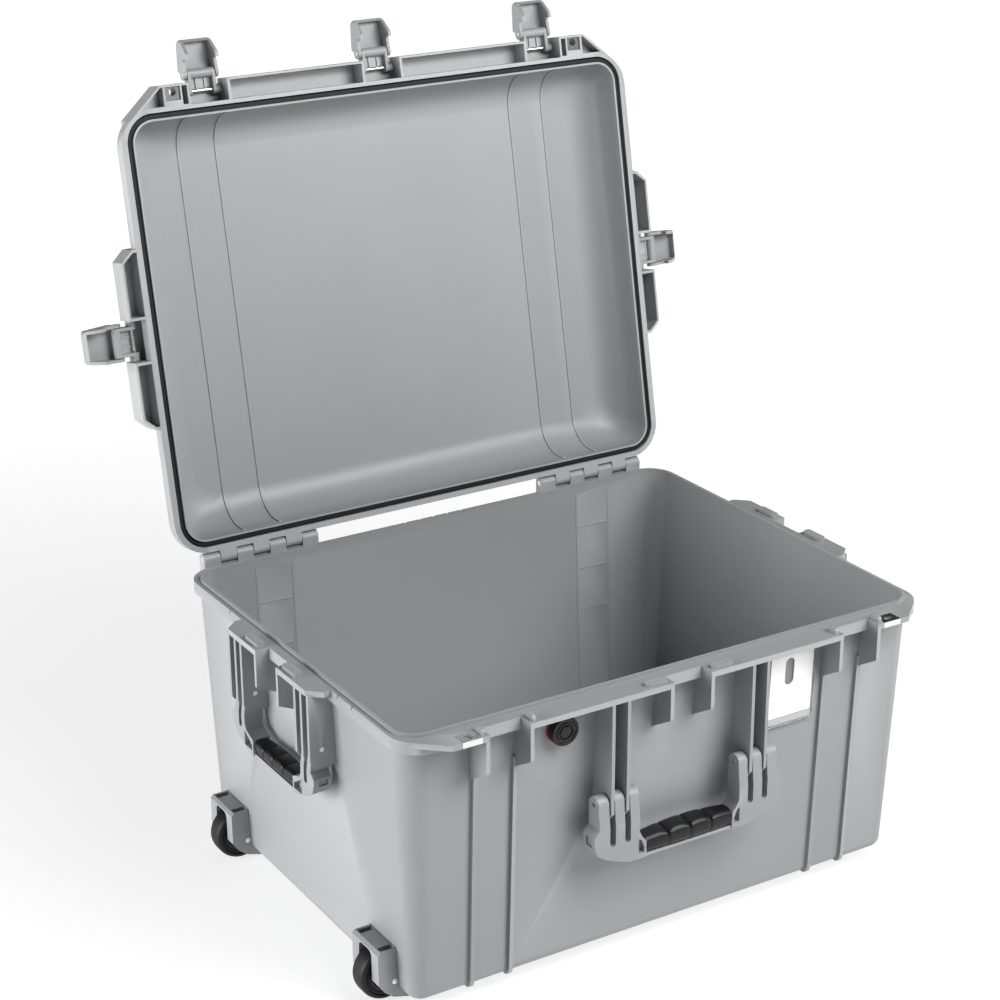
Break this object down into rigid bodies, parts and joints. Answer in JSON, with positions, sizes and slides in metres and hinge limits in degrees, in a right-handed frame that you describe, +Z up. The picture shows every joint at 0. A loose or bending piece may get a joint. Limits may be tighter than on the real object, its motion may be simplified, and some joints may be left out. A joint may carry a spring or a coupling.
{
  "type": "wheeled equipment case",
  "caption": "Hard wheeled equipment case with a gasketed hinged lid, fold-out latches, drop handles and a telescoping pull handle.",
  "frame": {"origin": "middle of the skid under the base, on the surface that the case stands on", "axes": "+X along the length towards the pull handle, +Y from the front towards the hinges, +Z up"},
  "size_m": [0.751, 0.6433, 0.8462],
  "materials": {
    "grey_shell": "fine moulded texture",
    "tyre": "satin",
    "gasket": "satin",
    "grip": "matte overmould",
    "red_seal": "smooth",
    "black_plastic": "fine texture",
    "bushes": "machined",
    "steel": "stainless",
    "tube": "anodised",
    "clear_pocket": "clear",
    "card": "plain"
  },
  "bodies": {
    "base": {"base_padlock_plates": "steel", "base_shell": "grey_shell", "bracket_screws": "steel", "card_frame": "clear_pocket", "front_handle_pins": "steel", "hinge_pins": "steel", "id_card": "card", "left_handle_pins": "steel", "pull_retainer_plate": "steel", "pull_sleeves": "tube", "retainer_plate_screws": "steel", "right_handle_pins": "steel", "valve_knob": "black_plastic", "valve_nut": "black_plastic", "valve_o_ring": "red_seal", "wheel_axle_front": "steel", "wheel_axle_rear": "steel", "wheel_bracket_front": "grey_shell", "wheel_bracket_rear": "grey_shell"},
    "lid": {"lid_shell": "grey_shell", "lid_gasket": "gasket", "lid_padlock_plates": "steel", "latch_hinge_pins": "steel"},
    "arm_front_left": {"latch_arm_front_left": "grey_shell", "lever_pin_front_left": "steel"},
    "lever_front_left": {"latch_lever_front_left": "grey_shell"},
    "arm_front_centre": {"latch_arm_front_centre": "grey_shell", "lever_pin_front_centre": "steel"},
    "lever_front_centre": {"latch_lever_front_centre": "grey_shell"},
    "arm_front_right": {"latch_arm_front_right": "grey_shell", "lever_pin_front_right": "steel"},
    "lever_front_right": {"latch_lever_front_right": "grey_shell"},
    "arm_left": {"latch_arm_left": "grey_shell", "lever_pin_left": "steel"},
    "lever_left": {"latch_lever_left": "grey_shell"},
    "arm_right": {"latch_arm_right": "grey_shell", "lever_pin_right": "steel"},
    "lever_right": {"latch_lever_right": "grey_shell"},
    "front_handle": {"front_handle_frame": "grey_shell", "front_handle_grip": "grip"},
    "left_handle": {"left_handle_frame": "grey_shell", "left_handle_grip": "grip"},
    "right_handle": {"right_handle_frame": "grey_shell", "right_handle_grip": "grip"},
    "wheel_front": {"wheel_tyre_front": "tyre", "wheel_hub_front": "black_plastic", "wheel_bushes_front": "bushes"},
    "wheel_rear": {"wheel_tyre_rear": "tyre", "wheel_hub_rear": "black_plastic", "wheel_bushes_rear": "bushes"},
    "pull_handle": {"pull_tubes": "tube", "pull_grip": "grip"},
    "release_button": {"pull_button": "grey_shell"}
  },
  "joints": [
    {"name": "lid_hinge", "type": "hinge", "parent": "base", "child": "lid", "pos_m": [0, 0.2441, 0.3145], "axis": [1, 0, 0], "range_deg": [0, 101.07]},
    {"name": "arm_front_left_flip", "type": "hinge", "parent": "lid", "child": "arm_front_left", "pos_m": [-0.207, 0.35066, 0.79406], "axis": [1, 0, 0], "range_deg": [0, 90]},
    {"name": "lever_front_left_pull", "type": "hinge", "parent": "arm_front_left", "child": "lever_front_left", "pos_m": [-0.207, 0.35412, 0.81173], "axis": [-1, 0, 0], "range_deg": [0, 60]},
    {"name": "arm_front_centre_flip", "type": "hinge", "parent": "lid", "child": "arm_front_centre", "pos_m": [0, 0.35066, 0.79406], "axis": [1, 0, 0], "range_deg": [0, 90]},
    {"name": "lever_front_centre_pull", "type": "hinge", "parent": "arm_front_centre", "child": "lever_front_centre", "pos_m": [0, 0.35412, 0.81173], "axis": [-1, 0, 0], "range_deg": [0, 60]},
    {"name": "arm_front_right_flip", "type": "hinge", "parent": "lid", "child": "arm_front_right", "pos_m": [0.207, 0.35066, 0.79406], "axis": [1, 0, 0], "range_deg": [0, 90]},
    {"name": "lever_front_right_pull", "type": "hinge", "parent": "arm_front_right", "child": "lever_front_right", "pos_m": [0.207, 0.35412, 0.81173], "axis": [-1, 0, 0], "range_deg": [0, 60]},
    {"name": "arm_left_flip", "type": "hinge", "parent": "lid", "child": "arm_left", "pos_m": [-0.322, 0.30324, 0.55166], "axis": [0, 0.192, 0.9814], "range_deg": [0, 90]},
    {"name": "lever_left_pull", "type": "hinge", "parent": "arm_left", "child": "lever_left", "pos_m": [-0.34, 0.30324, 0.55166], "axis": [0, -0.192, -0.9814], "range_deg": [0, 60]},
    {"name": "arm_right_flip", "type": "hinge", "parent": "lid", "child": "arm_right", "pos_m": [0.322, 0.30324, 0.55166], "axis": [0, -0.192, -0.9814], "range_deg": [0, 90]},
    {"name": "lever_right_pull", "type": "hinge", "parent": "arm_right", "child": "lever_right", "pos_m": [0.34, 0.30324, 0.55166], "axis": [0, 0.192, 0.9814], "range_deg": [0, 60]},
    {"name": "front_handle_swing", "type": "hinge", "parent": "base", "child": "front_handle", "pos_m": [0, -0.247, 0.195], "axis": [-1, 0, 0], "range_deg": [0, 90]},
    {"name": "left_handle_swing", "type": "hinge", "parent": "base", "child": "left_handle", "pos_m": [-0.316, 0, 0.242], "axis": [0, 1, 0], "range_deg": [0, 90]},
    {"name": "right_handle_swing", "type": "hinge", "parent": "base", "child": "right_handle", "pos_m": [0.316, 0, 0.242], "axis": [0, -1, 0], "range_deg": [0, 90]},
    {"name": "wheel_front_spin", "type": "hinge", "parent": "base", "child": "wheel_front", "pos_m": [-0.296, -0.161, 0.029], "axis": [0, 1, 0], "continuous": true},
    {"name": "wheel_rear_spin", "type": "hinge", "parent": "base", "child": "wheel_rear", "pos_m": [-0.296, 0.161, 0.029], "axis": [0, 1, 0], "continuous": true},
    {"name": "pull_handle_slide", "type": "slide", "parent": "base", "child": "pull_handle", "axis": [1, 0, 0], "range_m": [0, 0.38]},
    {"name": "release_button_press", "type": "slide", "parent": "pull_handle", "child": "release_button", "axis": [-1, 0, 0], "range_m": [0, 0.004], "stiffness_N_per_m": 1500, "springref_m": -0.001}
  ]
}
